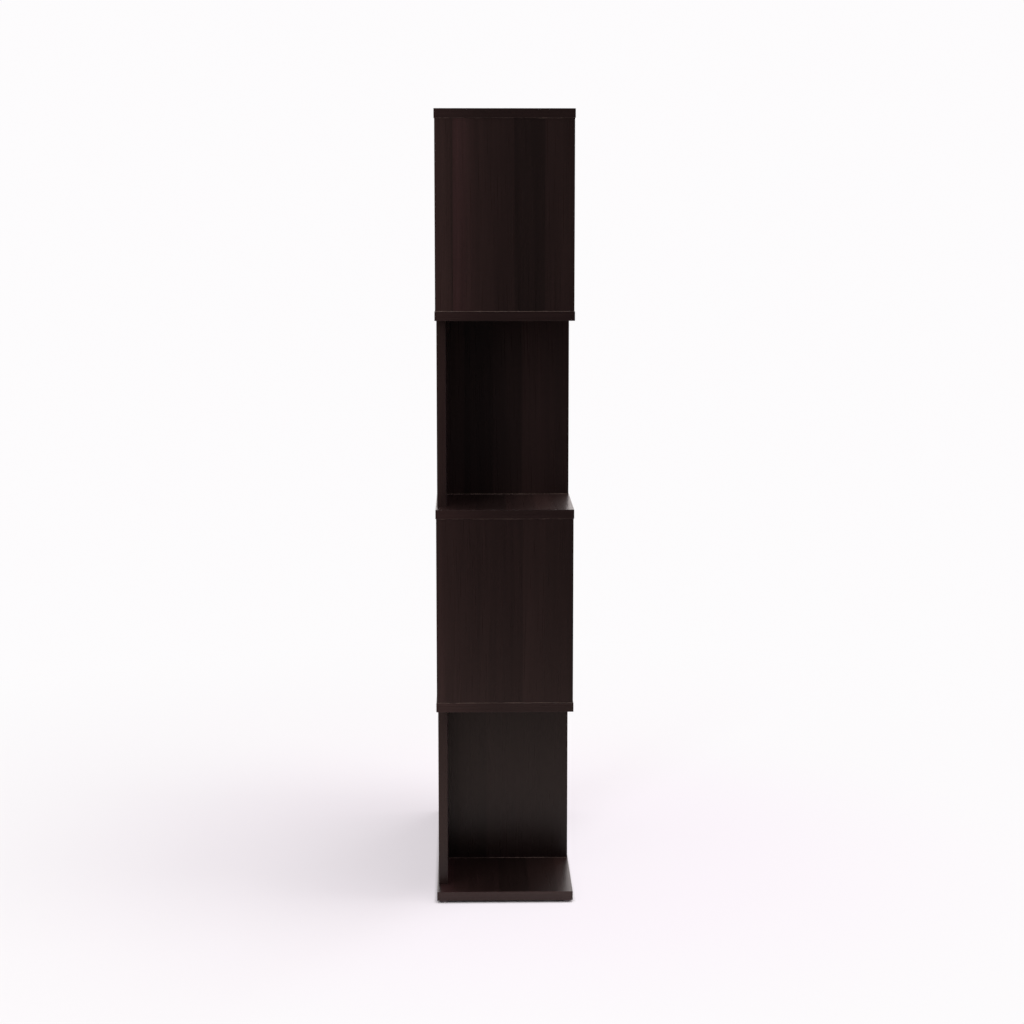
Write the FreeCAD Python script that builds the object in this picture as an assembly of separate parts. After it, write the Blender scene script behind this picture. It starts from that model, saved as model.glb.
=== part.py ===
import FreeCAD, Part
import math
import os

# A four tier shelving unit of flat pack furniture board, in millimetres.
# Five boards lie flat, one above the other. Between each pair stand an end panel,
# a divider and a back panel, which make a cube closed at one end of the unit and
# leave a bay open at the other. Each tier is the mirror image of the one below it.
# X is the length, Y is the depth with the front at minus Y, Z is up from the floor,
# and the origin lies on the floor under the middle of the unit.

# Boards and panels
unit_length = 600.0
unit_depth = 240.0
board_thickness = 16.0
panel_thickness = 16.0
clear_height = 325.5
bay_length = 204.0
panel_inset = 1.0
back_panel_inset = 2.5
back_panel_setback = 45.0

# Edge bands, glued round the boards and down the free edges of the panels
band_thickness = 1.0
band_chamfer_share = 0.6

# Sides of the prisms that stand for small round pieces and holes, which are many and mostly hidden
bolt_sides = 6
dowel_sides = 8
cam_sides = 8
glide_sides = 12

# Eccentric cam locks, sunk in the panels
cam_bore_diameter = 15.0
cam_bore_depth = 12.6
cam_clearance = 0.15
cam_setback = 24.0
cam_face_thickness = 3.6
cam_wall = 2.3
cam_offset = 0.25
cam_slot_angle = 112.5
cam_drive_span = 7.0
cam_drive_width = 1.3
cam_drive_depth = 2.2

# Cam bolts, screwed into the boards, with their heads caught in the cam locks
bolt_thread_diameter = 4.8
bolt_thread_length = 10.5
bolt_collar_diameter = 7.4
bolt_collar_height = 1.2
bolt_shank_diameter = 6.0
bolt_neck_diameter = 3.8
bolt_neck_length = 4.0
bolt_head_diameter = 5.2
bolt_head_length = 3.6
bolt_channel_diameter = 8.0

# Rows of cam joints and dowels across the depth of an end panel or divider
joint_edge_distance = 37.0

# Wooden dowels
dowel_diameter = 8.0
dowel_length = 30.0
dowel_board_depth = 10.0
dowel_edge_distance = 64.0

# Clearance round a fastener, and past its end, in the hole that holds it
bore_clearance = 0.1
bore_end_gap = 0.5

# Foot glides, nailed under the corners of the bottom board
glide_diameter = 18.0
glide_height = 4.0
glide_chamfer = 1.2
glide_edge_distance = 12.0
nail_diameter = 2.0
nail_length = 14.0
nail_head_diameter = 6.0
nail_head_height = 1.2
nail_head_recess = 0.8

# From the bottom of the unit to the top
board_names = ["bottom_board", "lower_shelf", "middle_shelf", "upper_shelf", "top_board"]
tier_names = ["bottom_tier", "second_tier", "third_tier", "top_tier"]

# Places that follow from the sizes above
half_length = unit_length / 2
half_depth = unit_depth / 2
tier_pitch = clear_height + board_thickness
band_chamfer = band_thickness * band_chamfer_share

# The tier is drawn with its cube closed at the plus X end, standing on the plane z = 0
panel_front = -half_depth + panel_inset
panel_back = half_depth - panel_inset
end_panel_outside = half_length - panel_inset
end_panel_inside = end_panel_outside - panel_thickness
divider_bay_face = -half_length + bay_length
divider_cube_face = divider_bay_face + panel_thickness
back_panel_outside = half_depth - back_panel_inset
back_panel_inside = back_panel_outside - panel_thickness
back_panel_free_end = -half_length + back_panel_setback

cam_radius = cam_bore_diameter / 2 - cam_clearance
cam_face = panel_thickness / 2 - cam_clearance
cam_foot = panel_thickness / 2 - cam_bore_depth + cam_clearance
bolt_neck_start = cam_setback - cam_bore_diameter / 2 - bore_clearance
bolt_neck_end = bolt_neck_start + bolt_neck_length
nail_head_top = nail_head_recess + nail_head_height

origin = FreeCAD.Vector(0, 0, 0)
along_x = FreeCAD.Vector(1, 0, 0)
along_y = FreeCAD.Vector(0, 1, 0)
along_z = FreeCAD.Vector(0, 0, 1)


def block(x_from, x_to, y_from, y_to, z_from, z_to):
    """A rectangular solid between two planes along each axis."""
    corner = FreeCAD.Vector(x_from, y_from, z_from)
    return Part.makeBox(x_to - x_from, y_to - y_from, z_to - z_from, corner)


def prism(radius, sides, z_from, z_to):
    """A round bar along Z, drawn as a prism whose corners lie on its radius."""
    turns = [2 * math.pi * corner / sides for corner in range(sides + 1)]
    corners = [FreeCAD.Vector(radius * math.cos(turn), radius * math.sin(turn), z_from) for turn in turns]
    corners[-1] = corners[0]
    return Part.Face(Part.makePolygon(corners)).extrude(along_z * (z_to - z_from))


def lying(shape, height):
    """A shape drawn along Z, laid along X with its axis at a height."""
    return shape.rotated(origin, along_y, 90).translated(along_z * height)


def fused(solids):
    """One solid from several that touch or overlap, with no seams left in its flat faces."""
    return solids[0].fuse(solids[1:]).removeSplitter().Solids[0]


def cut_all(solid, tools):
    """A solid less a list of tools."""
    return solid.cut(Part.makeCompound(tools)).Solids[0]


def placed(shape, x, y, z, facing=1, upward=1):
    """A copy of a shape at a point, with its X axis facing +X or -X and its Z axis up or down."""
    rotation = FreeCAD.Rotation(along_x * facing, along_y * facing * upward, along_z * upward, "ZXY")
    copy = shape.copy()
    copy.Placement = FreeCAD.Placement(FreeCAD.Vector(x, y, z), rotation)
    return copy


# Each fastener is drawn about the point where its axis meets the board's face. Its Z axis
# points away from the board into the panel, and the cam lock looks along plus X.

def cam_bolt():
    """The bolt: a threaded shank, a collar that stops on the board, a neck and a caught head."""
    sections = [
        (bolt_thread_diameter, -bolt_thread_length, 0),
        (bolt_collar_diameter, 0, bolt_collar_height),
        (bolt_shank_diameter, bolt_collar_height, bolt_neck_start),
        (bolt_neck_diameter, bolt_neck_start, bolt_neck_end),
        (bolt_head_diameter, bolt_neck_end, bolt_neck_end + bolt_head_length),
    ]
    return fused([prism(diameter / 2, bolt_sides, foot, top) for diameter, foot, top in sections])


def bolt_pilot():
    """The hole in a board for the threaded end of one cam bolt."""
    return prism(bolt_thread_diameter / 2 + bore_clearance, bolt_sides,
                 -bolt_thread_length - bore_end_gap, 0)


def cam_skirt_openings():
    """The way round the cam's skirt: the bolt's neck slides along it, and the head enters at its end."""
    neck_half_width = bolt_neck_diameter / 2 + cam_clearance
    head_half_width = bolt_head_diameter / 2 + cam_clearance
    reach = cam_bore_diameter
    neck_way = block(-neck_half_width, neck_half_width, -neck_half_width, neck_half_width, -reach, 0)
    head_way = block(-head_half_width, head_half_width, -head_half_width, head_half_width, -reach, 0)
    sector = Part.Face(Part.makePolygon([
        FreeCAD.Vector(-neck_half_width, 0, 0),
        FreeCAD.Vector(neck_half_width, 0, 0),
        FreeCAD.Vector(neck_half_width, 0, -reach),
        FreeCAD.Vector(-neck_half_width, 0, -reach),
        FreeCAD.Vector(-neck_half_width, 0, 0),
    ])).revolve(origin, along_x, cam_slot_angle)
    entry = head_way.rotated(origin, along_x, cam_slot_angle)
    return [opening.translated(along_z * cam_setback) for opening in (neck_way, sector, entry)]


def cam_drive():
    """The crossed recess in the cam's face that a screwdriver turns."""
    half_span = cam_drive_span / 2
    half_width = cam_drive_width / 2
    low = cam_face - cam_drive_depth
    bars = [block(low, cam_face, -half_span, half_span, -half_width, half_width),
            block(low, cam_face, -half_width, half_width, -half_span, half_span)]
    return fused(bars).translated(along_z * cam_setback)


def cam_lock():
    """The cam: a thick face with a cross drive, and an eccentric skirt slotted for the bolt."""
    body = lying(prism(cam_radius, cam_sides, cam_foot, cam_face), cam_setback)
    pocket = lying(prism(cam_radius - cam_wall, cam_sides, cam_foot, cam_face - cam_face_thickness),
                   cam_setback + cam_offset)
    return cut_all(body, [pocket, cam_drive()] + cam_skirt_openings())


def cam_bores():
    """The holes in a panel for one cam lock, and for the bolt that runs into it."""
    seat = panel_thickness / 2 - cam_bore_depth
    bore = lying(prism(cam_bore_diameter / 2, cam_sides, seat, panel_thickness / 2), cam_setback)
    channel = prism(bolt_channel_diameter / 2, bolt_sides, 0, cam_setback)
    return fused([bore, channel])


def dowel():
    """A wooden dowel, a third of it in the board and the rest in the panel."""
    return prism(dowel_diameter / 2, dowel_sides, -dowel_board_depth, dowel_length - dowel_board_depth)


def dowel_bore():
    """The hole for one dowel, in the board and in the panel."""
    return prism(dowel_diameter / 2 + bore_clearance, dowel_sides,
                 -dowel_board_depth - bore_end_gap, dowel_length - dowel_board_depth + bore_end_gap)


def joint_places(x, rows, facing=1):
    """The joints at the foot and head of a panel, in rows of Y: x, y, z, facing and upward.

    Facing is the way that a cam lock looks along X, and upward is 1 at the foot and -1 at the head.
    """
    return [(x, y, z, facing, upward) for z, upward in ((0, 1), (clear_height, -1)) for y in rows]


def rows_across(back):
    """The Y of the outer rows and of the middle row of joints in a panel that spans the depth."""
    outer = [panel_front + joint_edge_distance, back - joint_edge_distance]
    return outer, [(panel_front + back) / 2]


def at_places(shape, places):
    """A copy of a shape at each joint."""
    return [placed(shape, *place) for place in places]


def upright_edges(box, wanted):
    """The edges of a box that run along Z, where their middle passes the wanted test."""
    return [edge for edge in box.Edges
            if edge.BoundBox.ZLength > edge.BoundBox.XLength + edge.BoundBox.YLength
            and wanted(edge.CenterOfMass)]


def banded(outside, core, chamfered_edges):
    """A panel's core, and the chamfered bands that make up the rest of its outside."""
    return core, outside.makeChamfer(band_chamfer, chamfered_edges).cut(core).Solids


def end_panel():
    """The panel that closes the cube, banded down its front and back edges."""
    across = (end_panel_inside, end_panel_outside)
    outside = block(*across, panel_front, panel_back, 0, clear_height)
    core = block(*across, panel_front + band_thickness, panel_back - band_thickness, 0, clear_height)
    return banded(outside, core, upright_edges(outside, lambda middle: True))


def divider():
    """The panel between the cube and the open bay, banded down its front edge."""
    across = (divider_bay_face, divider_cube_face)
    outside = block(*across, panel_front, back_panel_inside, 0, clear_height)
    core = block(*across, panel_front + band_thickness, back_panel_inside, 0, clear_height)
    return banded(outside, core, upright_edges(outside, lambda middle: middle.y < 0))


def back_panel():
    """The panel behind the cube and most of the bay, banded down its free end."""
    through = (back_panel_inside, back_panel_outside, 0, clear_height)
    outside = block(back_panel_free_end, end_panel_inside, *through)
    core = block(back_panel_free_end + band_thickness, end_panel_inside, *through)
    return banded(outside, core, upright_edges(outside, lambda middle: middle.x < 0))


def tier_pieces():
    """One tier closed at its plus X end: its nodes, and the holes that it needs in the boards."""
    end_middle = (end_panel_inside + end_panel_outside) / 2
    divider_middle = (divider_bay_face + divider_cube_face) / 2
    back_middle = (back_panel_inside + back_panel_outside) / 2
    end_outer_rows, end_middle_row = rows_across(panel_back)
    end_cams = joint_places(end_middle, end_outer_rows, -1)
    end_dowels = joint_places(end_middle, end_middle_row)
    divider_outer_rows, divider_middle_row = rows_across(back_panel_inside)
    divider_cams = joint_places(divider_middle, divider_middle_row)
    divider_dowels = joint_places(divider_middle, divider_outer_rows)
    back_columns = [back_panel_free_end + dowel_edge_distance, end_panel_inside - dowel_edge_distance]
    back_dowels = [place for x in back_columns for place in joint_places(x, [back_middle])]
    all_cams = end_cams + divider_cams
    all_dowels = end_dowels + divider_dowels + back_dowels

    def bored(core, cams, dowels):
        return [cut_all(core, at_places(cam_bores(), cams) + at_places(dowel_bore(), dowels))]

    end_core, end_bands = end_panel()
    divider_core, divider_bands = divider()
    back_core, back_bands = back_panel()
    nodes = {
        "end_panel": bored(end_core, end_cams, end_dowels),
        "end_panel_edge_bands": end_bands,
        "divider": bored(divider_core, divider_cams, divider_dowels),
        "divider_edge_band": divider_bands,
        "back_panel": bored(back_core, [], back_dowels),
        "back_panel_edge_band": back_bands,
        "cam_locks": at_places(cam_lock(), all_cams),
        "cam_bolts": at_places(cam_bolt(), all_cams),
        "dowels": at_places(dowel(), all_dowels),
    }
    return nodes, at_places(bolt_pilot(), all_cams) + at_places(dowel_bore(), all_dowels)


def board(underside, holes):
    """A board less the holes that reach into it, and the four bands round it.

    The long bands run the board's full length, and the short ones fit between them.
    """
    top = underside + board_thickness
    inner_x = half_length - band_thickness
    inner_y = half_depth - band_thickness
    outside = block(-half_length, half_length, -half_depth, half_depth, underside, top)
    core = block(-inner_x, inner_x, -inner_y, inner_y, underside, top)
    skin = outside.makeChamfer(band_chamfer, outside.Edges).cut(core)
    slabs = [block(-half_length, half_length, -half_depth, -inner_y, underside, top),
             block(-half_length, half_length, inner_y, half_depth, underside, top),
             block(-half_length, -inner_x, -inner_y, inner_y, underside, top),
             block(inner_x, half_length, -inner_y, inner_y, underside, top)]
    return cut_all(core, holes), [skin.common(slab).Solids[0] for slab in slabs]


def foot_glide():
    """A plastic glide: a disc chamfered round its foot, with a well for the nail's head."""
    disc = prism(glide_diameter / 2, glide_sides, 0, glide_height)
    foot_edges = [edge for edge in disc.Edges if edge.BoundBox.ZMax < glide_chamfer]
    well = prism(nail_head_diameter / 2 + bore_clearance, bolt_sides, 0, nail_head_top)
    hole = prism(nail_diameter / 2 + bore_clearance, bolt_sides, 0, glide_height)
    return cut_all(disc.makeChamfer(glide_chamfer, foot_edges), [fused([well, hole])])


def glide_nail():
    """The nail of a glide: a flat head sunk in the well, and a shank that runs into the board."""
    head = prism(nail_head_diameter / 2, bolt_sides, nail_head_recess, nail_head_top)
    shank = prism(nail_diameter / 2, bolt_sides, nail_head_top, nail_head_recess + nail_length)
    return fused([head, shank])


def nail_bore():
    """The hole that a nail makes in the board above its glide."""
    return prism(nail_diameter / 2 + bore_clearance, bolt_sides,
                 glide_height, nail_head_recess + nail_length + bore_end_gap)


def at_corners(shape):
    """A copy of a shape at the place of each glide."""
    x_place = half_length - glide_edge_distance
    y_place = half_depth - glide_edge_distance
    return [placed(shape, x, y, 0) for x in (-x_place, x_place) for y in (-y_place, y_place)]


def shelving_unit():
    """Every node of the unit by name, each a list of its solids."""
    nodes = {"foot_glides": at_corners(foot_glide()), "glide_nails": at_corners(glide_nail())}
    tier_nodes, tier_holes = tier_pieces()
    holes_from_below = at_corners(nail_bore())
    for level, board_name in enumerate(board_names):
        underside = glide_height + level * tier_pitch
        holes_from_above = []

        def raised(shape):
            # Even tiers are closed at plus X, and the tiers between them are mirrored
            turned_over = shape.mirror(origin, along_x) if level % 2 else shape
            return turned_over.translated(along_z * (underside + board_thickness))

        if level < len(tier_names):
            for node, solids in tier_nodes.items():
                nodes[f"{tier_names[level]}_{node}"] = [raised(solid) for solid in solids]
            holes_from_above = [raised(hole) for hole in tier_holes]
        core, bands = board(underside, holes_from_below + holes_from_above)
        nodes[board_name] = [core]
        nodes[f"{board_name}_edge_bands"] = bands
        holes_from_below = holes_from_above
    return nodes


def main():
    os.makedirs("parts", exist_ok=True)
    for node, solids in shelving_unit().items():
        shape = solids[0] if len(solids) == 1 else Part.makeCompound(solids)
        shape.exportStep(f"parts/{node}.step")
        print(node, len(solids), "solids,", round(shape.Volume), "cubic mm, valid:", shape.isValid())


main()
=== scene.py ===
import math

import bpy
import numpy as np
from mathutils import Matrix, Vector


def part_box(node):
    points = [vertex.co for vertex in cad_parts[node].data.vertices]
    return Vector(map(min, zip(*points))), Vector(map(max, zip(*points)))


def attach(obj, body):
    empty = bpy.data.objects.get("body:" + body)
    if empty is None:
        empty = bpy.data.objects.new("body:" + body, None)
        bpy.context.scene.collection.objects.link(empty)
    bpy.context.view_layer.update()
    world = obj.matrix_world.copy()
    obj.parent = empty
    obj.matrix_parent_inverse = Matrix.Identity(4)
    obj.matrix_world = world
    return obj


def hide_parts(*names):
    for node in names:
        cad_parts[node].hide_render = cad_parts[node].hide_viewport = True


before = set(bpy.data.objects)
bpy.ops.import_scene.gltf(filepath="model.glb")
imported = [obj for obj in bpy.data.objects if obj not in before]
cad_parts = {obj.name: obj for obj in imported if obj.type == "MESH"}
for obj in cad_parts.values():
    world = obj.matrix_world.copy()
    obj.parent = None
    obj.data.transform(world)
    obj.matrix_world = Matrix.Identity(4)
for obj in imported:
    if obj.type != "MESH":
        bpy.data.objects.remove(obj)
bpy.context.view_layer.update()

# The looks of a four tier shelving unit of dark woodgrain board, in metres.
# X is the length, Y is the depth with the front at minus Y, Z is up from the floor.

MM = 0.001

BOARDS = ["bottom_board", "lower_shelf", "middle_shelf", "upper_shelf", "top_board"]
TIERS = ["bottom_tier", "second_tier", "third_tier", "top_tier"]

# Edge bands
BAND_THICKNESS = 1.0 * MM
BAND_ROUNDING = 0.6 * MM

# Joints between the boards and the panels
JOINT_EDGE_DISTANCE = 37.0 * MM
DOWEL_EDGE_DISTANCE = 64.0 * MM
CAM_SETBACK = 24.0 * MM

# Foot glides
GLIDE_RADIUS = 9.0 * MM


# Shapes. A shell is a closed surface: an array of points and an array of four cornered faces,
# where a triangle repeats one of its corners.

def merged(points, faces):
    """A shell whose points that coincide, to a ten thousandth of a millimetre, are made one."""
    kept, place = np.unique(np.round(points, 7), axis=0, return_inverse=True)
    return kept, place.reshape(-1)[faces]


def grid_faces(rows, columns, first=0):
    """Faces between neighbours of a grid of points that is stored row by row."""
    corner = first + np.arange((rows - 1) * columns).reshape(rows - 1, columns)[:, :-1].ravel()
    return np.stack([corner, corner + 1, corner + columns + 1, corner + columns], axis=1)


def moved(shell, turn, to):
    """A shell turned by a matrix and moved to a point."""
    points, faces = shell
    return points @ np.asarray(turn, float).T + np.asarray(to, float), faces


def lattice_box(xs, ys, zs):
    """The skin of a box, cut along each axis at the given places.

    Each face of the box is the grid of two of the three lists, at the first or last of the third.
    """
    cuts = [np.asarray(places, float) for places in (xs, ys, zs)]
    points, faces, count = [], [], 0
    for axis in range(3):
        u, v = (axis + 1) % 3, (axis + 2) % 3
        across, along = np.meshgrid(cuts[u], cuts[v], indexing="ij")
        for end, turned_in in ((0, True), (-1, False)):
            side = np.empty((across.size, 3))
            side[:, u], side[:, v], side[:, axis] = across.ravel(), along.ravel(), cuts[axis][end]
            quads = grid_faces(len(cuts[u]), len(cuts[v]), count)
            faces.append(quads if turned_in else quads[:, ::-1])
            points.append(side)
            count += len(side)
    return merged(np.concatenate(points), np.concatenate(faces))


def rounded(shell, low, high, radius):
    """A shell with the arrises of the box from low to high rounded.

    A point is drawn in towards the nearest point of a box that is smaller by the radius all round,
    until it lies no further than the radius from it.
    """
    points, faces = shell
    nearest = np.clip(points, np.asarray(low) + radius, np.asarray(high) - radius)
    away = points - nearest
    distance = np.maximum(np.linalg.norm(away, axis=1, keepdims=True), radius)
    return nearest + away * (radius / distance), faces


def arris_cuts(low, high, round_low=True, round_high=True):
    """Places to cut an axis so that a rounded arris gets even steps of 15 degrees.

    A step at an angle falls at the rounding times one less the angle's tangent, and one more cut
    past the rounding keeps the flat beside it flat.
    """
    past_rounding = 1.2
    angles = np.radians([45, 30, 15, 0])
    steps = BAND_ROUNDING * np.append(1 - np.tan(angles), past_rounding)
    return np.concatenate([low + (steps if round_low else steps[:1]),
                           (high - (steps if round_high else steps[:1]))[::-1]])


def turned(profile, sides, ripple=None):
    """A profile of radius and height, turned about the Z axis.

    The profile runs from the top of the piece outwards and down, or all the way round a ring.
    The ripple, where there is one, is a function of angle and height that scales the radius.
    """
    profile = np.asarray(profile, float)
    angles = np.linspace(0, 2 * math.pi, sides + 1)
    angle, radius = np.meshgrid(angles, profile[:, 0])
    height = np.broadcast_to(profile[:, 1:2], angle.shape)
    if ripple is not None:
        radius = radius * ripple(angle, height)
    points = np.stack([radius * np.cos(angle), radius * np.sin(angle), height], axis=-1)
    return merged(points.reshape(-1, 3), grid_faces(len(profile), sides + 1)[:, ::-1])


def arc_of(section, start, stop, steps, wind):
    """A closed section of radius and height carried round an arc, and closed at both ends.

    The section's inner half is drawn in by the wind as it goes, like a spiral.
    """
    angles = np.linspace(start, stop, steps)
    inner = section[:, 0] < section[:, 0].mean()
    radius = section[None, :, 0] - np.outer(np.linspace(0, wind, steps), inner)
    points = np.stack([radius * np.cos(angles)[:, None], radius * np.sin(angles)[:, None],
                       np.broadcast_to(section[None, :, 1], radius.shape)], axis=-1)
    around = np.append(np.arange(len(section)), 0)
    ring = points[:, around].reshape(-1, 3)
    last = (steps - 1) * len(around)
    ends = np.array([[0, 3, 2, 1], [last, last + 1, last + 2, last + 3]])
    return merged(ring, np.concatenate([grid_faces(steps, len(around)), ends]))


def disc_grid(lines, rings, relief):
    """A disc seen from above: a square lattice in the middle, and rings from its rim outwards.

    The points of a ring lie in the directions of the lattice's rim, at the ring's radius and
    height. The relief is the height of the lattice as a function of x and y.
    """
    count = len(lines)
    x, y = np.meshgrid(lines, lines, indexing="ij")
    lattice = np.stack([x, y, relief(x, y)], axis=-1)
    number = np.arange(count * count).reshape(count, count)
    rim = np.concatenate([number[:-1, 0], number[-1, :-1], number[:0:-1, -1], number[0, :0:-1]])
    rim = np.append(rim, rim[0])
    edge = lattice.reshape(-1, 3)[rim]
    directions = edge[:, :2] / np.linalg.norm(edge[:, :2], axis=1, keepdims=True)
    rows = [edge] + [np.column_stack([directions * radius, np.full(len(rim), height)])
                     for radius, height in rings]
    points = np.concatenate([lattice.reshape(-1, 3)] + rows)
    ring_faces = grid_faces(len(rows), len(rim), count * count)[:, ::-1]
    return merged(points, np.concatenate([grid_faces(count, count)[:, ::-1], ring_faces]))


def joined(shells):
    """Several shells in one array of points and one of faces."""
    starts = np.cumsum([0] + [len(points) for points, _ in shells[:-1]])
    return (np.concatenate([points for points, _ in shells]),
            np.concatenate([faces + start for (_, faces), start in zip(shells, starts)]))


def make_piece(name, groups, finishes, node, sharp_angle=35):
    """One object from groups of shells, each group in the finish of the same place in the list."""
    groups = [joined(group) for group in groups]
    points, faces = joined(groups)
    finish_index = np.repeat(np.arange(len(groups)), [len(group[1]) for group in groups])
    kept = faces != np.roll(faces, -1, axis=1)
    sides = kept.sum(axis=1)
    whole = sides > 2
    faces, kept, sides, finish_index = faces[whole], kept[whole], sides[whole], finish_index[whole]
    mesh = bpy.data.meshes.new(name)
    mesh.vertices.add(len(points))
    mesh.vertices.foreach_set("co", points.ravel())
    mesh.loops.add(int(sides.sum()))
    mesh.loops.foreach_set("vertex_index", faces[kept])
    mesh.polygons.add(len(faces))
    mesh.polygons.foreach_set("loop_start", np.cumsum(sides) - sides)
    mesh.polygons.foreach_set("material_index", finish_index)
    for finish in finishes:
        mesh.materials.append(finish)
    mesh.update(calc_edges=True)
    mesh.shade_smooth()
    mesh.set_sharp_from_angle(angle=math.radians(sharp_angle))
    piece = bpy.data.objects.new(name, mesh)
    bpy.context.scene.collection.objects.link(piece)
    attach(piece, "root")
    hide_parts(node)


# Finishes

def add(tree, kind, settings=(), sockets=()):
    """A node of a kind. Each socket that is named is set to a value, or linked to a socket."""
    node = tree.nodes.new(kind)
    for key, value in dict(settings).items():
        setattr(node, key, value)
    for key, value in dict(sockets).items():
        if isinstance(value, bpy.types.NodeSocket):
            tree.links.new(value, node.inputs[key])
        else:
            node.inputs[key].default_value = value
    return node


def maths(tree, operation, first, second=0.0, third=0.0):
    """The result of one arithmetic operation on values or sockets."""
    return add(tree, "ShaderNodeMath", {"operation": operation},
               {0: first, 1: second, 2: third}).outputs[0]


def between(tree, value, low, high, to_low=0.0, to_high=1.0):
    """A value carried smoothly from one range to another, and held at its ends."""
    return add(tree, "ShaderNodeMapRange", {"interpolation_type": "SMOOTHSTEP"},
               {"Value": value, "From Min": low, "From Max": high, "To Min": to_low,
                "To Max": to_high}).outputs["Result"]


def blended(tree, share, first, second):
    """A colour between two others. A mix node's colours are its sockets 6 and 7."""
    return add(tree, "ShaderNodeMix", {"data_type": "RGBA"},
               {0: share, 6: first, 7: second}).outputs[2]


def noise(tree, place, scale, detail, roughness=0.5):
    """Noise over a place that is first stretched by a scale along each axis."""
    stretched = add(tree, "ShaderNodeVectorMath", {"operation": "MULTIPLY"}, {0: place, 1: scale})
    return add(tree, "ShaderNodeTexNoise", {}, {
        "Vector": stretched.outputs[0], "Scale": 1.0, "Detail": detail,
        "Roughness": roughness}).outputs["Fac"]


def swing(tree, noise_value, depth):
    """Noise, which varies about a half, made to vary about zero by a depth."""
    return maths(tree, "MULTIPLY", maths(tree, "SUBTRACT", noise_value, 0.5), depth)


def axes_of(tree, place):
    """The three parts of a place."""
    return add(tree, "ShaderNodeSeparateXYZ", {}, {0: place}).outputs


def new_finish(name):
    """An empty material, its tree, its shader's sockets, and the place on the piece."""
    finish = bpy.data.materials.new(name)
    finish.use_nodes = True
    tree = finish.node_tree
    place = add(tree, "ShaderNodeTexCoord").outputs["Object"]
    return finish, tree, tree.nodes["Principled BSDF"].inputs, place


def bumped(tree, strength, distance, height):
    """The normals of a surface with a relief."""
    return add(tree, "ShaderNodeBump", {}, {
        "Strength": strength, "Distance": distance, "Height": height}).outputs["Normal"]


# The printed woodgrain repeats across the grain. Each stave of it: its width in millimetres, its
# tone at either side, and how red it is. A tone of one is the middle brown.
# The light ramps of the first stave and of the 34 millimetre stave fall along the back edges of the
# top tier's and the second tier's end panels. They are partly painted light: a lighter band where
# light catches that edge.
PRINT_STAVES = [
    (28, 2.15, 1.55, 0.1), (3, 1.05, 1.15, 0.0), (11, 2.1, 2.05, 1.0), (12, 2.05, 1.75, 0.9),
    (14, 1.6, 1.3, 0.5), (32, 1.28, 1.2, 0.3), (35, 1.05, 1.0, 0.3), (12, 0.66, 0.68, 0.2),
    (40, 0.76, 0.62, 0.1), (52, 1.02, 1.06, 0.25),
    (34, 1.6, 1.3, 0.3), (26, 1.22, 1.12, 0.4), (62, 1.05, 0.84, 0.4), (28, 0.82, 0.78, 0.5),
    (3, 1.2, 1.2, 0.3), (86, 1.05, 0.8, 0.3),
]
PRINT_WIDTH = sum(stave[0] for stave in PRINT_STAVES) * MM
STAVE_SEAM = 0.2 * MM
TONE_STEP = 0.4

# Its colours
PRINT_BROWN = (0.0359, 0.0193, 0.0166, 1.0)
PRINT_RED = (0.0372, 0.0172, 0.0162, 1.0)
PRINT_BLACK = (0.0008, 0.0005, 0.0004, 1.0)
BARE_CORE = (0.169, 0.125, 0.103, 1.0)

# Its noises: how fine each is across, through and along the grain, in cycles to the metre, and
# how deep it goes
SWAY_SCALE, SWAY_DEPTH = (3.0, 3.0, 2.2), 20.0 * MM
STREAK_SCALE, STREAK_DEPTH = (90.0, 90.0, 1.6), 0.9
FIBRE_SCALE, FIBRE_DEPTH = (900.0, 900.0, 7.0), 0.4
CLOUD_SCALE, CLOUD_DEPTH = (9.0, 9.0, 5.0), 0.35
PORE_SCALE, PORE_DEPTH = (2600.0, 2600.0, 95.0), 0.2
PORE_RANGE = (0.6, 0.72)

# The laminate's sheen and relief
LAMINATE_SPECULAR = 0.29
LAMINATE_ROUGHNESS, FIBRE_ROUGHNESS = 0.24, 0.1
LAMINATE_BUMP, LAMINATE_RELIEF = 0.25, 0.08 * MM

# The chipped hairline at a panel's ends
CHIP_SCALE = (40.0, 40.0, 1.0)
CHIP_SPREAD, CHIP_START = 1.8 * MM, 0.6 * MM
CHIP_FADE = 0.3 * MM
HEAD_CHIP_LESS = 0.2 * MM


def paint_staves(ramp):
    """Sets a ramp's stops to the staves: two to a stave, just inside its seams.

    A stop's red is the stave's tone, and its green is how red the stave is. A ramp holds no more
    stops than these, so the first of them is the one that it comes with.
    """
    stops = ramp.color_ramp.elements
    stops.remove(stops[1])
    places = []
    start = 0.0
    for width, left, right, red in PRINT_STAVES:
        end = start + width * MM
        places += [(start + STAVE_SEAM, left, red), (end - STAVE_SEAM, right, red)]
        start = end
    for number, (place, tone, red) in enumerate(places):
        stop = stops.new(place / PRINT_WIDTH) if number else stops[0]
        stop.color = (tone * TONE_STEP, red, 0.0, 1.0)


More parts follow.
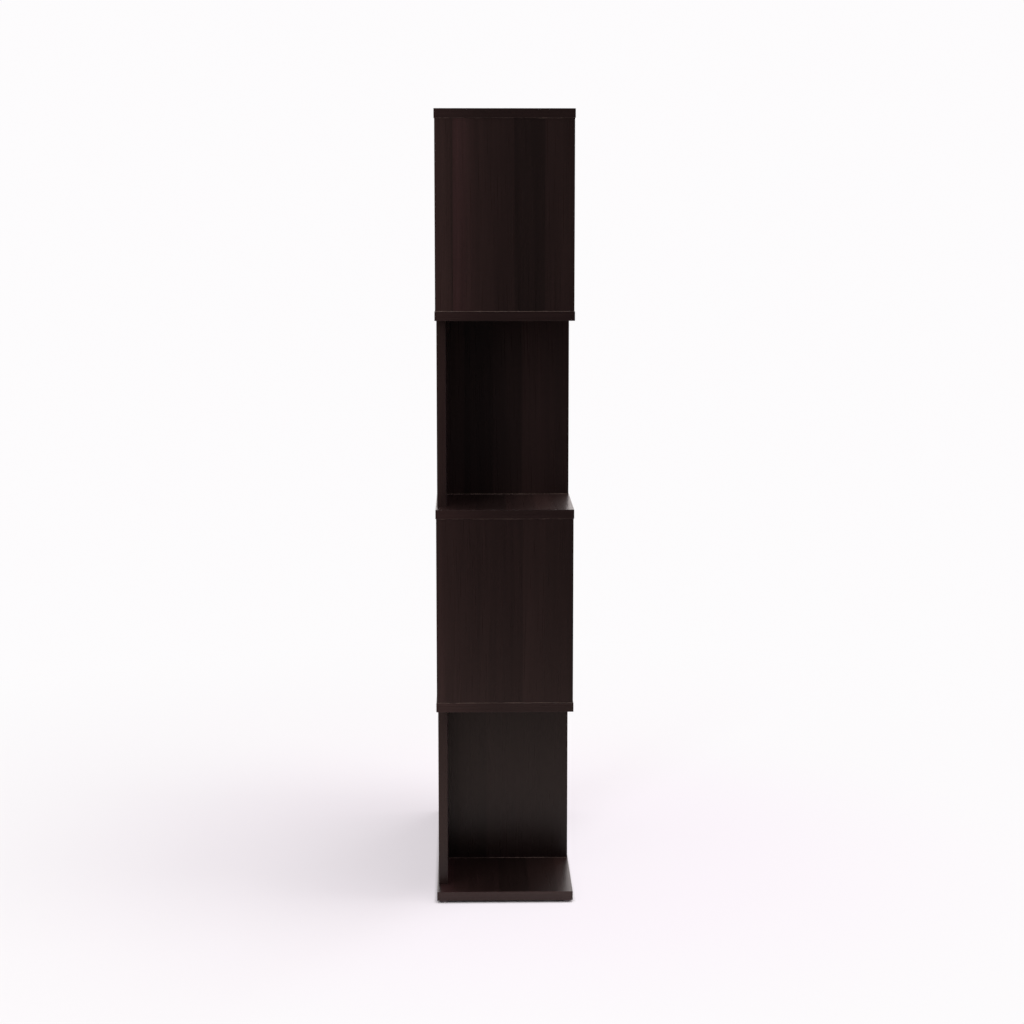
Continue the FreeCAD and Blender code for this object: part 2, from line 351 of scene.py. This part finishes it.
def woodgrain_group():
    """The woodgrain print: staves across the grain, streaks, fibres and pores along it.

    Place is across, through and along the grain. Cut is how far across the print the piece starts,
    and tone scales the print's own. The colour goes from black to the stave's brown with the
    stave's tone, times one plus the streaks, fibres and clouds, less the pores.
    """
    tree = bpy.data.node_groups.new("woodgrain print", "ShaderNodeTree")
    for in_out, socket, kind in (("INPUT", "Place", "Vector"), ("INPUT", "Cut", "Float"),
                                 ("INPUT", "Tone", "Float"), ("OUTPUT", "Color", "Color"),
                                 ("OUTPUT", "Roughness", "Float"), ("OUTPUT", "Height", "Float")):
        tree.interface.new_socket(name=socket, in_out=in_out, socket_type=f"NodeSocket{kind}")
    given = tree.nodes.new("NodeGroupInput").outputs
    wanted = tree.nodes.new("NodeGroupOutput").inputs

    place = given["Place"]
    axes = axes_of(tree, place)
    sway = noise(tree, place, SWAY_SCALE, detail=1.0)
    shifted = maths(tree, "ADD", axes[0], given["Cut"])
    share = maths(tree, "FRACT", maths(tree, "DIVIDE", shifted, PRINT_WIDTH))
    ramp = add(tree, "ShaderNodeValToRGB", {}, {0: share})
    paint_staves(ramp)
    stave = add(tree, "ShaderNodeSeparateColor", {}, {0: ramp.outputs[0]}).outputs

    swayed = add(tree, "ShaderNodeCombineXYZ", {}, {
        0: maths(tree, "MULTIPLY_ADD", sway, SWAY_DEPTH, axes[0]), 1: axes[1], 2: axes[2]})
    swayed = swayed.outputs[0]
    streaks = noise(tree, swayed, STREAK_SCALE, detail=3.0, roughness=0.6)
    fibres = noise(tree, swayed, FIBRE_SCALE, detail=2.0, roughness=0.6)
    pores = between(tree, noise(tree, swayed, PORE_SCALE, detail=1.0), *PORE_RANGE)
    clouds = noise(tree, place, CLOUD_SCALE, detail=2.0)

    figure = maths(tree, "ADD", swing(tree, streaks, STREAK_DEPTH),
                   swing(tree, fibres, FIBRE_DEPTH))
    figure = maths(tree, "ADD", figure, swing(tree, clouds, CLOUD_DEPTH))
    tone = maths(tree, "MULTIPLY", stave[0], maths(tree, "ADD", 1.0, figure))
    tone = maths(tree, "MULTIPLY", tone, given["Tone"])
    less_pores = maths(tree, "SUBTRACT", 1.0, maths(tree, "MULTIPLY", pores, PORE_DEPTH))
    tone = maths(tree, "MULTIPLY", tone, less_pores)
    brown = blended(tree, stave[1], PRINT_BROWN, PRINT_RED)
    roughness = maths(tree, "ADD", LAMINATE_ROUGHNESS,
                      maths(tree, "MULTIPLY", fibres, FIBRE_ROUGHNESS))
    tree.links.new(blended(tree, tone, PRINT_BLACK, brown), wanted["Color"])
    tree.links.new(roughness, wanted["Roughness"])
    tree.links.new(maths(tree, "SUBTRACT", fibres, pores), wanted["Height"])
    return tree


woodgrain = woodgrain_group()

# The axes across, through and along the grain, by the way that the print lies on a piece
PRINT_LIES = {
    "along x": (1, 2, 0),
    "along y": (0, 2, 1),
    "upright across y": (1, 0, 2),
    "upright across x": (0, 1, 2),
}

# Painted light along the unit's depth: where a tone starts to turn into its back's, and where it
# has done so
BACK_PAINTED_LIGHT_FROM, BACK_PAINTED_LIGHT_TO = 20.0 * MM, 125.0 * MM


def chipped_ends(tree, place, height, foot, head, color):
    """A panel's colour, with its bare core in a chipped hairline along its foot and its head.

    The core shows where the height from the nearer end is less than the noise times the chips'
    spread, less their start. The head's hairline is thinner.
    """
    inwards = maths(tree, "MINIMUM", maths(tree, "SUBTRACT", height, foot),
                    maths(tree, "SUBTRACT", head + HEAD_CHIP_LESS, height))
    chips = noise(tree, place, CHIP_SCALE, detail=4.0, roughness=0.7)
    reach = maths(tree, "MULTIPLY_ADD", chips, -CHIP_SPREAD, CHIP_START)
    bare = between(tree, maths(tree, "ADD", inwards, reach), 0.0, CHIP_FADE, 1.0, 0.0)
    return blended(tree, bare, color, BARE_CORE)


def laminate(name, lies, cut, depth=1.0, back=1.0, ends=None):
    """Satin laminate with the print on it, from one place on the print.

    The depth scales the print's tone, and so does the back towards the unit's back, which paints
    light along the depth. The ends are the heights of an upright panel's foot and head, where its
    core shows.
    """
    finish, tree, shader, place = new_finish(name)
    shader["Specular IOR Level"].default_value = LAMINATE_SPECULAR
    axes = axes_of(tree, place)
    across, through, along = PRINT_LIES[lies]
    ordered = add(tree, "ShaderNodeCombineXYZ", {}, {
        0: maths(tree, "MULTIPLY", axes[across], -1.0), 1: axes[through], 2: axes[along]})
    tone = depth
    if back != 1.0:
        tone = between(tree, axes[1], BACK_PAINTED_LIGHT_FROM, BACK_PAINTED_LIGHT_TO, depth, depth * back)
    grained = add(tree, "ShaderNodeGroup", {"node_tree": woodgrain}, {
        "Place": ordered.outputs[0], "Cut": cut, "Tone": tone}).outputs
    color = grained["Color"]
    if ends:
        color = chipped_ends(tree, place, axes[2], *ends, color)
    tree.links.new(color, shader["Base Color"])
    tree.links.new(grained["Roughness"], shader["Roughness"])
    tree.links.new(bumped(tree, LAMINATE_BUMP, LAMINATE_RELIEF, grained["Height"]),
                   shader["Normal"])
    return finish


GRIT_RANGE = (0.25, 0.75)
GRIT_ROUGHNESS = 0.2
GRIT_BUMP = 0.4


def gritty(name, color, spread, scale, roughness, relief, metallic=0.0):
    """A finish that varies a little in colour, roughness and height over noise of a scale.

    The spread is how far the colour varies to either side, and the relief is the bump's height.
    """
    finish, tree, shader, place = new_finish(name)
    shader["Metallic"].default_value = metallic
    grit = noise(tree, place, scale, detail=3.0, roughness=0.6)
    dark = tuple(value * (1 - spread) for value in color) + (1.0,)
    light = tuple(value * (1 + spread) for value in color) + (1.0,)
    tree.links.new(blended(tree, grit, dark, light), shader["Base Color"])
    smoother, rougher = roughness * (1 - GRIT_ROUGHNESS), roughness * (1 + GRIT_ROUGHNESS)
    tree.links.new(between(tree, grit, *GRIT_RANGE, smoother, rougher), shader["Roughness"])
    tree.links.new(bumped(tree, GRIT_BUMP, relief, grit), shader["Normal"])
    return finish


zinc = gritty("cast zinc", (0.52, 0.53, 0.55), spread=0.15, scale=(900.0, 900.0, 900.0),
              roughness=0.38, relief=0.04 * MM, metallic=1.0)
steel = gritty("plated steel", (0.62, 0.61, 0.58), spread=0.1, scale=(400.0, 400.0, 1500.0),
               roughness=0.28, relief=0.02 * MM, metallic=1.0)
beech = gritty("beech", (0.55, 0.36, 0.2), spread=0.25, scale=(1500.0, 1500.0, 90.0),
               roughness=0.6, relief=0.1 * MM)
glide_plastic = gritty("glide plastic", (0.081, 0.0675, 0.071), spread=0.2,
                       scale=(1200.0, 1200.0, 1200.0), roughness=0.45, relief=0.05 * MM)

# Boards and panels keep their solids and take the print. Each is cut from its own place on it,
# in metres. The depth of a tone that isn't given here is one.
# The places and depths were matched piece by piece to how bright each piece looks where it stands.
# Besides the print's own tone, they carry painted light and shade: light staves where a piece
# catches light or mirrors something bright, dark ones where it is shaded or mirrors something dark.
BOARD_CUTS = {"bottom_board": 0.145, "lower_shelf": 0.3, "middle_shelf": 0.185,
              "upper_shelf": 0.39, "top_board": 0.2}
# The depths below one of the bottom board and the middle shelf are painted shade: they darken the
# tops that lie in the open bays.
BOARD_DEPTHS = {"bottom_board": 0.7, "middle_shelf": 0.95}
PANEL_CUTS = {
    "bottom_tier_end_panel": 0.31, "second_tier_end_panel": 0.358,
    "third_tier_end_panel": 0.15, "top_tier_end_panel": 0.119,
    "bottom_tier_divider": 0.27, "second_tier_divider": 0.4,
    "third_tier_divider": 0.205, "top_tier_divider": 0.22,
    "bottom_tier_back_panel": 0.06, "second_tier_back_panel": 0.3,
    "third_tier_back_panel": 0.17, "top_tier_back_panel": 0.44,
}
# The depths below one of the two dividers are painted shade: they darken the dividers that stand in
# the shade of the open bays.
PANEL_DEPTHS = {"second_tier_end_panel": 0.9, "bottom_tier_divider": 0.4,
                "third_tier_divider": 0.93}


def dress(node, finish):
    """Gives a solid that keeps its shape a finish."""
    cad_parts[node].data.materials.clear()
    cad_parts[node].data.materials.append(finish)


for board, cut in BOARD_CUTS.items():
    dress(board, laminate(f"{board} laminate", "along x", cut, BOARD_DEPTHS.get(board, 1.0)))
for panel, cut in PANEL_CUTS.items():
    low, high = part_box(panel)
    lies = "upright across x" if panel.endswith("back_panel") else "upright across y"
    dress(panel, laminate(f"{panel} laminate", lies, cut, PANEL_DEPTHS.get(panel, 1.0),
                          ends=(low.z, high.z)))


# Edge bands with rounded arrises. Most are cut from one place on the print. A back panel's and
# those of the bottom board's ends are cut from light places of their own: a painted highlight on
# the back panels' free ends, and painted light from the floor on the bottom board's ends.

BAND_CUT, BACK_PANEL_HIGHLIGHT_CUT, FLOOR_LIT_BAND_CUT = 0.05, 0.13, 0.183
BACK_PANEL_HIGHLIGHT_DEPTHS = {"bottom_tier": 0.6, "second_tier": 0.85, "third_tier": 0.85,
                          "top_tier": 0.85}
TOUCHING = 0.1 * MM
OPEN_END = 1.0 * MM

long_finish = laminate("edge band along x", "along x", BAND_CUT)
upright_finish = laminate("edge band along z", "upright across y", BAND_CUT)
# The back panels' free ends are cut from a light place on the print: a painted highlight along
# those edges.
back_panel_highlight_finishes = {
    tier: laminate(f"painted highlight edge band of {tier}", "upright across y", BACK_PANEL_HIGHLIGHT_CUT, depth)
    for tier, depth in BACK_PANEL_HIGHLIGHT_DEPTHS.items()}
# The short edge bands turn lighter towards the unit's back: painted light.
short_finish = laminate("short edge band with painted light", "along y", BAND_CUT, back=1.75)
# The bottom board's end bands are cut from a light place on the print: painted light, as if bounced
# up from the bright floor.
floor_lit_finish = laminate("bottom edge band painted with floor light", "along y", FLOOR_LIT_BAND_CUT, depth=0.92)


def board_band(box_low, box_high, low, high):
    """One band: the part of a rounded box's skin from low to high, with a flat back."""
    cuts = [arris_cuts(low[axis], high[axis], low[axis] - box_low[axis] < TOUCHING,
                       box_high[axis] - high[axis] < TOUCHING) for axis in range(3)]
    return rounded(lattice_box(*cuts), box_low, box_high, BAND_ROUNDING)


def upright_band(low, high, rounded_axis, outwards):
    """A band down a panel's free edge: rounded along its two upright arrises that face outwards.

    The box that its arrises are rounded to goes on past the band where they are left square.
    """
    across = 1 - rounded_axis
    cuts = [None, None, [low[2], high[2]]]
    cuts[rounded_axis] = arris_cuts(low[rounded_axis], high[rounded_axis],
                                    outwards < 0, outwards > 0)
    cuts[across] = arris_cuts(low[across], high[across])
    box_low, box_high = np.array(low, float), np.array(high, float)
    box_low[2], box_high[2] = box_low[2] - OPEN_END, box_high[2] + OPEN_END
    if outwards < 0:
        box_high[rounded_axis] += OPEN_END
    else:
        box_low[rounded_axis] -= OPEN_END
    return rounded(lattice_box(*cuts), box_low, box_high, BAND_ROUNDING)


for board in BOARDS:
    low, high = map(np.array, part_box(f"{board}_edge_bands"))
    inner_low, inner_high = low + BAND_THICKNESS, high - BAND_THICKNESS
    long_bands = [
        board_band(low, high, low, (high[0], inner_low[1], high[2])),
        board_band(low, high, (low[0], inner_high[1], low[2]), high),
    ]
    short_bands = [
        board_band(low, high, (low[0], inner_low[1], low[2]),
                   (inner_low[0], inner_high[1], high[2])),
        board_band(low, high, (inner_high[0], inner_low[1], low[2]),
                   (high[0], inner_high[1], high[2])),
    ]
    make_piece(f"{board}_rounded_bands", [long_bands, short_bands],
               [long_finish, floor_lit_finish if board == "bottom_board" else short_finish],
               f"{board}_edge_bands")

for tier in TIERS:
    low, high = map(np.array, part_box(f"{tier}_end_panel_edge_bands"))
    bands = [upright_band(low, (high[0], low[1] + BAND_THICKNESS, high[2]), 1, -1),
             upright_band((low[0], high[1] - BAND_THICKNESS, low[2]), high, 1, 1)]
    make_piece(f"{tier}_end_panel_rounded_bands", [bands], [upright_finish],
               f"{tier}_end_panel_edge_bands")
    low, high = map(np.array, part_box(f"{tier}_divider_edge_band"))
    make_piece(f"{tier}_divider_rounded_band", [[upright_band(low, high, 1, -1)]],
               [upright_finish], f"{tier}_divider_edge_band")
    low, high = map(np.array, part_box(f"{tier}_back_panel_edge_band"))
    free_end = 1 if low[0] > 0 else -1
    make_piece(f"{tier}_back_panel_rounded_band", [[upright_band(low, high, 0, free_end)]],
               [back_panel_highlight_finishes[tier]], f"{tier}_back_panel_edge_band")


# Fasteners. Each is shaped about its own Z axis, then set in the joints of a tier. A joint's origin
# is where its bolt or dowel meets the board's face, and its Z axis points into the panel. Their
# profiles are points of radius and height in millimetres.

CAM_INSIDE, CAM_OUTSIDE = 4.5, 6.8
CAM_CEILING, CAM_HEAD_UNDERSIDE, CAM_FACE = 4.25, 2.05, 8.1
CAM_LIP_TOP, CAM_LIP_FOOT = -2.05, -4.4
CAM_WIND = 0.6 * MM
CAM_WALL_ARC = np.radians([135, 342])
CAM_LIP_ARC = np.radians([142, 443])
RECESS_HALF_SPAN, RECESS_HALF_WIDTH = 3.4 * MM, 0.75 * MM
RECESS_DEPTH, RECESS_SLOPE = 2.2 * MM, 0.2 * MM
CEILING_LATTICE_SHARE = 0.7
ARROW_BACK, ARROW_MIDDLE, ARROW_TIP = 4.7 * MM, 5.3 * MM, 5.9 * MM
ARROW_HALF_WIDTH, ARROW_TIP_SHARE = 0.9 * MM, 0.05
ARROW_FOOT, ARROW_TOP = 7.9 * MM, 8.2 * MM


def cam_shells():
    """A cam lock: a rimmed face with a cross recess, a wall with a slot, and a lip that catches.

    The recess is a cross of two bars. Its depth falls from the edge of the cross to its floor over
    its slope. The cam's face looks along Z, and its bolt comes from plus X.
    """
    half = np.array([0, 0.45, 0.65, 0.85, 1.5, 2.1, 2.7, 3.3, 3.5, 3.9]) * MM
    lines = np.concatenate([-half[:0:-1], half])

    def recess(x, y):
        bars = [np.maximum(np.abs(a) - RECESS_HALF_SPAN, np.abs(b) - RECESS_HALF_WIDTH)
                for a, b in ((x, y), (y, x))]
        inside = np.clip(0.5 - np.minimum(*bars) / RECESS_SLOPE, 0, 1)
        return CAM_FACE * MM - RECESS_DEPTH * inside

    def ceiling(x, y):
        return np.full(x.shape, CAM_CEILING * MM)

    rings = [(6.3, CAM_FACE), (6.7, CAM_FACE), (6.85, 8.13), (7.0, 8.22), (7.15, 8.28), (7.3, 8.3),
             (7.8, 8.3), (7.95, 8.27), (8.06, 8.19), (8.1, 8.1), (8.1, 8.02), (8.05, 8.0),
             (CAM_OUTSIDE, 8.0), (CAM_OUTSIDE, CAM_HEAD_UNDERSIDE),
             (CAM_INSIDE, CAM_HEAD_UNDERSIDE), (CAM_INSIDE, CAM_CEILING)]
    top = disc_grid(lines, np.array(rings) * MM, recess)
    under_points, under_faces = disc_grid(lines * CEILING_LATTICE_SHARE,
                                          [(CAM_INSIDE * MM, CAM_CEILING * MM)], ceiling)
    head = merged(*joined([top, (under_points, under_faces[:, ::-1])]))

    def wall(foot, top, arc, steps):
        section = [(CAM_INSIDE, foot), (CAM_INSIDE, top), (CAM_OUTSIDE, top), (CAM_OUTSIDE, foot)]
        return arc_of(np.array(section) * MM, *arc, steps, CAM_WIND)

    middle = wall(CAM_LIP_TOP, CAM_HEAD_UNDERSIDE, CAM_WALL_ARC, steps=30)
    lip = wall(CAM_LIP_FOOT, CAM_LIP_TOP, CAM_LIP_ARC, steps=40)
    arrow = lattice_box([ARROW_BACK, ARROW_TIP], [-ARROW_HALF_WIDTH, ARROW_HALF_WIDTH],
                        [ARROW_FOOT, ARROW_TOP])
    tip = arrow[0][:, 0] > ARROW_MIDDLE
    arrow[0][tip, 1] *= ARROW_TIP_SHARE
    return [head, middle, lip, arrow]


THREAD_PITCH = 2.6 * MM
THREAD_TOP, THREAD_FOOT = -0.2 * MM, -9.9 * MM
THREAD_ROWS = np.arange(0.3, 9.8, 0.3)
THREAD_HEIGHT_SHARE, THREAD_STEEPNESS = 0.2, 4


def bolt_shells():
    """A cam bolt: a turned shank, collar, neck and head, with a coarse thread on its lower end.

    The thread's crest follows the angle plus the height over the pitch.
    """
    profile = [(0, 24.0), (1.9, 24.0), (2.35, 23.9), (2.6, 23.5), (2.6, 21.2), (2.5, 20.8),
               (1.9, 20.4), (1.9, 16.9), (2.1, 16.5), (2.8, 16.3), (3.0, 16.0), (3.0, 1.4),
               (3.1, 1.2), (3.5, 1.15), (3.7, 0.95), (3.7, 0.1), (3.6, 0.0), (2.0, 0.0)]
    profile += [(2.0, -depth) for depth in THREAD_ROWS]
    profile += [(1.3, -10.2), (0.4, -10.5), (0, -10.5)]

    def thread(angle, height):
        turn = np.mod(angle / (2 * math.pi) + height / THREAD_PITCH, 1.0)
        crest = np.clip(1 - np.abs(turn - 0.5) * THREAD_STEEPNESS, 0, 1)
        threaded = (height < THREAD_TOP) & (height > THREAD_FOOT)
        return np.where(threaded, 1 + THREAD_HEIGHT_SHARE * crest, 1.0)

    return [turned(np.array(profile) * MM, sides=24, ripple=thread)]


FLUTES = 16
FLUTE_DEPTH_SHARE = 0.035
FLUTE_FROM = 0.2


def dowel_shells():
    """A fluted dowel with chamfered ends. Its radius dips where its flutes' cosine is high."""
    profile = [(0, 20), (2.9, 20), (3.75, 18.8), (3.78, 18.5), (3.78, 5), (3.78, -8.5),
               (3.75, -8.8), (2.9, -10), (0, -10)]

    def flutes(angle, height):
        return 1 - FLUTE_DEPTH_SHARE * (np.cos(FLUTES * angle) > FLUTE_FROM)

    return [turned(np.array(profile) * MM, sides=4 * FLUTES, ripple=flutes)]


def glide_shells():
    """A plastic glide: a disc with a rounded foot, and a well in its middle for the nail."""
    profile = [(3.1, 2.0), (1.1, 2.0), (1.1, 4.0), (8.6, 4.0), (8.9, 3.9), (9.0, 3.6), (9.0, 2.0),
               (8.9, 1.3), (8.6, 0.7), (8.1, 0.25), (7.4, 0.03), (6.9, 0.0), (3.8, 0.0),
               (3.4, 0.1), (3.1, 0.4), (3.1, 2.0)]
    return [turned(np.array(profile) * MM, sides=64)]


def nail_shells():
    """A round nail: a slightly domed head below, and a shank with a point above."""
    profile = [(0, 14.8), (0.25, 14.2), (1.0, 12.8), (1.0, 2.2), (1.1, 2.0), (2.8, 2.0),
               (3.0, 1.8), (3.0, 1.3), (2.6, 0.95), (1.6, 0.83), (0, 0.8)]
    return [turned(np.array(profile) * MM, sides=32)]


def in_joint(facing, upward):
    """The turn of a joint whose cam looks along plus or minus X, with its Z axis up or down."""
    return np.diag([facing, facing * upward, upward]).astype(float)


def in_joints(shells, places, heights):
    """Copies of the shells at the foot and the head of a tier, at each place: x, y and facing."""
    return [moved(shell, in_joint(facing, upward), (x, y, height))
            for x, y, facing in places
            for height, upward in zip(heights, (1, -1))
            for shell in shells]


# The turn that lays a cam on its side: its face looks along X, and its bolt comes from below
CAM_LYING = np.array([(0, 0, 1), (0, 1, 0), (-1, 0, 0)])

cam =[moved(shell, CAM_LYING, (0, 0, CAM_SETBACK)) for shell in cam_shells()]
bolt, dowel = bolt_shells(), dowel_shells()
for tier in TIERS:
    end_low, end_high = map(np.array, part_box(f"{tier}_end_panel"))
    divider_low, divider_high = map(np.array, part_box(f"{tier}_divider"))
    back_low, back_high = map(np.array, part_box(f"{tier}_back_panel"))
    free_low, free_high = map(np.array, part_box(f"{tier}_back_panel_edge_band"))
    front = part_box(f"{tier}_divider_edge_band")[0].y
    closed_end = 1 if end_low[0] > 0 else -1
    end_x = (end_low[0] + end_high[0]) / 2
    divider_x = (divider_low[0] + divider_high[0]) / 2
    back_y = (back_low[1] + back_high[1]) / 2
    free_x = free_low[0] if closed_end > 0 else free_high[0]
    inside_x = back_high[0] if closed_end > 0 else back_low[0]
    outer_row = -front - JOINT_EDGE_DISTANCE
    cams = [
        (end_x, -outer_row, -closed_end),
        (end_x, outer_row, -closed_end),
        (divider_x, (front + back_low[1]) / 2, closed_end),
    ]
    dowels = [
        (end_x, 0.0, 1),
        (divider_x, -outer_row, 1),
        (divider_x, back_low[1] - JOINT_EDGE_DISTANCE, 1),
        (free_x + closed_end * DOWEL_EDGE_DISTANCE, back_y, 1),
        (inside_x - closed_end * DOWEL_EDGE_DISTANCE, back_y, 1),
    ]
    heights = (end_low[2], end_high[2])
    make_piece(f"{tier}_cams", [in_joints(cam, cams, heights)], [zinc],
               f"{tier}_cam_locks")
    make_piece(f"{tier}_bolts", [in_joints(bolt, cams, heights)], [steel],
               f"{tier}_cam_bolts")
    make_piece(f"{tier}_fluted_dowels", [in_joints(dowel, dowels, heights)], [beech],
               f"{tier}_dowels", sharp_angle=50)

glide_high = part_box("foot_glides")[1]
corners = [(x * (glide_high.x - GLIDE_RADIUS), y * (glide_high.y - GLIDE_RADIUS), 0.0)
           for x in (-1, 1) for y in (-1, 1)]


def at_corners(shells):
    """A copy of the shells under each corner of the unit."""
    return [moved(shell, np.eye(3), corner) for shell in shells for corner in corners]


make_piece("glides", [at_corners(glide_shells())], [glide_plastic], "foot_glides")
make_piece("nails", [at_corners(nail_shells())], [steel], "glide_nails")


# The studio. Ranges of distance are in metres from the unit's middle, on the floor.

BACKGROUND_WHITE = (0.983, 0.97, 0.98, 1.0)

FLOOR_REACH = 40.0
FLOOR_SEEN = (0.59, 0.5875, 0.584, 1.0)
FLOOR_GLOW_NEAR, GLOW_RANGE = (0.985, 0.925, 0.98, 1.0), (0.35, 1.1)
FLOOR_BOUNCE_NEAR, FLOOR_BOUNCE_FAR = (0.95, 0.9, 0.875, 1.0), (0.05, 0.05, 0.05, 1.0)
BOUNCE_RANGE = (0.5, 2.5)
FLOOR_MIRROR_NEAR, FLOOR_MIRROR_FAR = (0.6, 0.59, 0.585, 1.0), (0.69, 0.55, 0.48, 1.0)
MIRROR_RANGE = (0.36, 0.6)
SHADOW_SIDE_RANGE, SHADOW_SIDE_GLOW = (-0.14, 0.08), (0.85, 0.5)
SHADOW_SLANT = 0.5
WHITE_RANGE = (0.4, 2.0)
CONTACT_REACH, CONTACT_DEPTH = 8.0 * MM, 4.0


def white_floor():
    """A wide pale floor, which takes the unit's shadow and turns plain white further away.

    The camera sees a pale surface under the lamps, mixed with a white glow. The share of the glow
    goes up to one with distance. Near the unit it is less on the side where the shadow falls, and
    none in the narrow gap under the bottom board. Bounced light and mirrored light each see the
    floor in a colour of their own near the unit, and nearly black further away.
    """
    mesh = bpy.data.meshes.new("floor")
    mesh.from_pydata([(-FLOOR_REACH, -FLOOR_REACH, 0), (FLOOR_REACH, -FLOOR_REACH, 0),
                      (FLOOR_REACH, FLOOR_REACH, 0), (-FLOOR_REACH, FLOOR_REACH, 0)],
                     [], [(0, 1, 2, 3)])
    floor = bpy.data.objects.new("floor", mesh)
    bpy.context.scene.collection.objects.link(floor)
    finish = bpy.data.materials.new("studio floor")
    finish.use_nodes = True
    tree = finish.node_tree
    tree.nodes.clear()
    place = add(tree, "ShaderNodeTexCoord").outputs["Object"]
    distance = add(tree, "ShaderNodeVectorMath", {"operation": "LENGTH"}, {0: place})
    distance = distance.outputs["Value"]
    axes = axes_of(tree, place)
    path = add(tree, "ShaderNodeLightPath").outputs
    seen = path["Is Camera Ray"]

    mirrored = blended(tree, between(tree, distance, *MIRROR_RANGE),
                       FLOOR_MIRROR_NEAR, FLOOR_MIRROR_FAR)
    near = blended(tree, path["Is Glossy Ray"], FLOOR_BOUNCE_NEAR, mirrored)
    bounced = blended(tree, between(tree, distance, *BOUNCE_RANGE), near, FLOOR_BOUNCE_FAR)
    color = blended(tree, seen, bounced, FLOOR_SEEN)
    lit = add(tree, "ShaderNodeBsdfDiffuse", {}, {"Color": color})

    glow = blended(tree, between(tree, distance, *GLOW_RANGE), FLOOR_GLOW_NEAR, BACKGROUND_WHITE)
    white = add(tree, "ShaderNodeEmission", {}, {"Color": glow, "Strength": 1.0})
    open_sky = add(tree, "ShaderNodeAmbientOcclusion", {}, {"Distance": CONTACT_REACH})
    contact = maths(tree, "POWER", open_sky.outputs["AO"], CONTACT_DEPTH)
    behind = maths(tree, "MULTIPLY_ADD", axes[0], SHADOW_SLANT, axes[1])
    near_share = between(tree, behind, *SHADOW_SIDE_RANGE, *SHADOW_SIDE_GLOW)
    share = maths(tree, "MULTIPLY", between(tree, distance, *WHITE_RANGE, near_share, 1.0),
                  maths(tree, "MULTIPLY", seen, contact))
    mixed = add(tree, "ShaderNodeMixShader", {}, {0: share, 1: lit.outputs[0], 2: white.outputs[0]})
    add(tree, "ShaderNodeOutputMaterial", {}, {"Surface": mixed.outputs[0]})
    mesh.materials.append(finish)


AHEAD_RANGE, AHEAD_LIGHT = (-1.0, 1.0), (0.224, 0.848)
OVERHEAD_LIGHT, FRONT_LIGHT = 0.336, 1.28
MIRRORED_RANGE, MIRRORED_LIGHT = (-0.6, 0.8), (0.03, 1.6)
AMBIENT_COLOR = (1.0, 0.905, 0.98, 1.0)
MIRRORED_COLOR = (1.0, 0.93, 0.92, 1.0)


def studio_world():
    """A surround that is white to the camera, and soft light from all round.

    The light is more from ahead, which is plus X, from overhead and from the unit's front. What
    the unit's surfaces mirror is bright ahead and dim behind the camera.
    """
    world = bpy.data.worlds.new("studio")
    world.use_nodes = True
    tree = world.node_tree
    tree.nodes.clear()
    way = axes_of(tree, add(tree, "ShaderNodeTexCoord").outputs["Generated"])
    path = add(tree, "ShaderNodeLightPath").outputs
    overhead = maths(tree, "MULTIPLY", maths(tree, "MAXIMUM", way[2], 0.0), OVERHEAD_LIGHT)
    front = maths(tree, "MULTIPLY", maths(tree, "MINIMUM", way[1], 0.0), -FRONT_LIGHT)
    lighting = maths(tree, "ADD", between(tree, way[0], *AHEAD_RANGE, *AHEAD_LIGHT),
                     maths(tree, "ADD", overhead, front))
    mirror_light = between(tree, way[0], *MIRRORED_RANGE, *MIRRORED_LIGHT)

    def background(color, strength):
        return add(tree, "ShaderNodeBackground", {}, {"Color": color, "Strength": strength})

    def either(share, first, second):
        return add(tree, "ShaderNodeMixShader", {}, {
            0: share, 1: first.outputs[0], 2: second.outputs[0]})

    mirrored = maths(tree, "MAXIMUM", path["Is Glossy Ray"], path["Is Transmission Ray"])
    unseen = either(mirrored, background(AMBIENT_COLOR, lighting),
                    background(MIRRORED_COLOR, mirror_light))
    surround = either(path["Is Camera Ray"], unseen, background(BACKGROUND_WHITE, 1.0))
    add(tree, "ShaderNodeOutputWorld", {}, {"Surface": surround.outputs[0]})
    bpy.context.scene.world = world


def turn_towards(way):
    """The rotation of a lamp or a camera that looks along a way."""
    return Vector(way).to_track_quat("-Z", "Y").to_euler()


def soft_lamp(name, place, towards, size, power, color=(1.0, 1.0, 1.0)):
    """A square soft lamp that looks at a point. Its power is in watts."""
    data = bpy.data.lights.new(name, "AREA")
    data.shape, data.size, data.energy, data.color = "SQUARE", size, power, color
    lamp = bpy.data.objects.new(name, data)
    lamp.location = place
    lamp.rotation_euler = turn_towards(Vector(towards) - Vector(place))
    bpy.context.scene.collection.objects.link(lamp)


COOL_WHITE = (0.98, 0.99, 0.97)

white_floor()
studio_world()
soft_lamp("key", (-0.3, -1.0, 3.6), (0.0, 0.0, 0.3), size=0.9, power=38.4, color=COOL_WHITE)
soft_lamp("overhead", (0.0, -0.2, 4.3), (0.0, 0.0, 0.0), size=0.9, power=38.4, color=COOL_WHITE)
soft_lamp("near left", (-2.4, 2.2, 2.4), (0.0, 0.0, 0.5), size=2.4, power=54.4)
soft_lamp("far right", (2.5, -1.2, 1.8), (0.0, 0.0, 0.7), size=0.9, power=14.4)

# The camera looks along the unit's length and a little down. Lens and sensor are in millimetres.
CAMERA_PLACE = (-4.0854, 0.0634, 1.2413)
CAMERA_WAY = (0.98971, -0.0198, -0.14173)
CAMERA_LENS, CAMERA_SENSOR = 77.85, 36.0

camera_data = bpy.data.cameras.new("camera")
camera_data.lens, camera_data.sensor_width = CAMERA_LENS, CAMERA_SENSOR
camera = bpy.data.objects.new("camera", camera_data)
camera.location = CAMERA_PLACE
camera.rotation_euler = turn_towards(CAMERA_WAY)
bpy.context.scene.collection.objects.link(camera)
bpy.context.scene.camera = camera
bpy.context.scene.view_settings.view_transform = "Standard"
